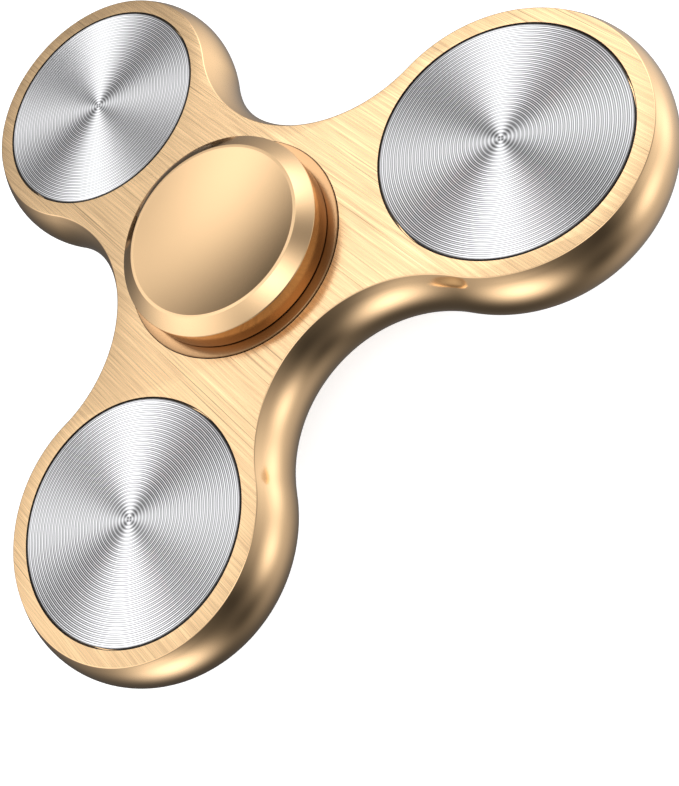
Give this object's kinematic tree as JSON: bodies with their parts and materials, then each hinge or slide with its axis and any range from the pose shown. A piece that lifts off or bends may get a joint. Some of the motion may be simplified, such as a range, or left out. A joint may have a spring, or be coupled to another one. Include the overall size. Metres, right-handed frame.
{
  "type": "fidget spinner",
  "caption": "Three-lobed metal fidget spinner: a weighted, round-edged frame that turns on a ball bearing between dished finger caps.",
  "frame": {"origin": "on the spin axis at mid-thickness of the frame, which is the centre of the bearing", "axes": "+Z along the spin axis out of the front face, +X through the middle of lobe 1, +Y to its left seen from the front"},
  "size_m": [0.0679, 0.074, 0.0148],
  "materials": {
    "gold_frame": "anodised gold, brushed faces and satin-polished edge",
    "gold_cap": "anodised gold, satin",
    "gold_ring": "anodised gold, polished",
    "turned_disc": "concentric turned grooves, bright",
    "weight_steel": "plain turned",
    "bearing_steel": "ground and polished",
    "cage_nylon": "moulded nylon"
  },
  "bodies": {
    "finger_caps": {"front_cap": "gold_cap", "back_cap": "gold_cap", "cap_stud": "bearing_steel", "inner_race": "bearing_steel"},
    "rotor": {"spinner_body": "gold_frame", "outer_race": "bearing_steel", "front_retaining_ring": "gold_ring", "back_retaining_ring": "gold_ring", "front_shield": "bearing_steel", "back_shield": "bearing_steel", "front_shield_clip": "bearing_steel", "back_shield_clip": "bearing_steel", "weight_1": "weight_steel", "weight_2": "weight_steel", "weight_3": "weight_steel", "front_disc_1": "turned_disc", "front_disc_2": "turned_disc", "front_disc_3": "turned_disc", "back_disc_1": "turned_disc", "back_disc_2": "turned_disc", "back_disc_3": "turned_disc"},
    "cage": {"ball_cage": "cage_nylon"},
    "ball_1": {"ball_1": "bearing_steel"},
    "ball_2": {"ball_2": "bearing_steel"},
    "ball_3": {"ball_3": "bearing_steel"},
    "ball_4": {"ball_4": "bearing_steel"},
    "ball_5": {"ball_5": "bearing_steel"},
    "ball_6": {"ball_6": "bearing_steel"},
    "ball_7": {"ball_7": "bearing_steel"}
  },
  "joints": [
    {"name": "spin", "type": "hinge", "parent": "finger_caps", "child": "rotor", "pos_m": [0, 0, 0], "axis": [0, 0, 1], "continuous": true},
    {"name": "cage_orbit", "type": "hinge", "parent": "finger_caps", "child": "cage", "pos_m": [0, 0, 0], "axis": [0, 0, 1], "continuous": true},
    {"name": "ball_1_roll", "type": "hinge", "parent": "cage", "child": "ball_1", "pos_m": [0.0075, 0, 0], "axis": [0, 0, 1], "continuous": true},
    {"name": "ball_2_roll", "type": "hinge", "parent": "cage", "child": "ball_2", "pos_m": [0.00468, 0.00586, 0], "axis": [0, 0, 1], "continuous": true},
    {"name": "ball_3_roll", "type": "hinge", "parent": "cage", "child": "ball_3", "pos_m": [-0.00167, 0.00731, 0], "axis": [0, 0, 1], "continuous": true},
    {"name": "ball_4_roll", "type": "hinge", "parent": "cage", "child": "ball_4", "pos_m": [-0.00676, 0.00325, 0], "axis": [0, 0, 1], "continuous": true},
    {"name": "ball_5_roll", "type": "hinge", "parent": "cage", "child": "ball_5", "pos_m": [-0.00676, -0.00325, 0], "axis": [0, 0, 1], "continuous": true},
    {"name": "ball_6_roll", "type": "hinge", "parent": "cage", "child": "ball_6", "pos_m": [-0.00167, -0.00731, 0], "axis": [0, 0, 1], "continuous": true},
    {"name": "ball_7_roll", "type": "hinge", "parent": "cage", "child": "ball_7", "pos_m": [0.00468, -0.00586, 0], "axis": [0, 0, 1], "continuous": true}
  ],
  "couplings": [
    {"joint": "cage_orbit", "follows": "spin", "ratio": 0.6323},
    {"joint": "ball_1_roll", "follows": "spin", "ratio": 1.7573},
    {"joint": "ball_2_roll", "follows": "spin", "ratio": 1.7573},
    {"joint": "ball_3_roll", "follows": "spin", "ratio": 1.7573},
    {"joint": "ball_4_roll", "follows": "spin", "ratio": 1.7573},
    {"joint": "ball_5_roll", "follows": "spin", "ratio": 1.7573},
    {"joint": "ball_6_roll", "follows": "spin", "ratio": 1.7573},
    {"joint": "ball_7_roll", "follows": "spin", "ratio": 1.7573}
  ]
}
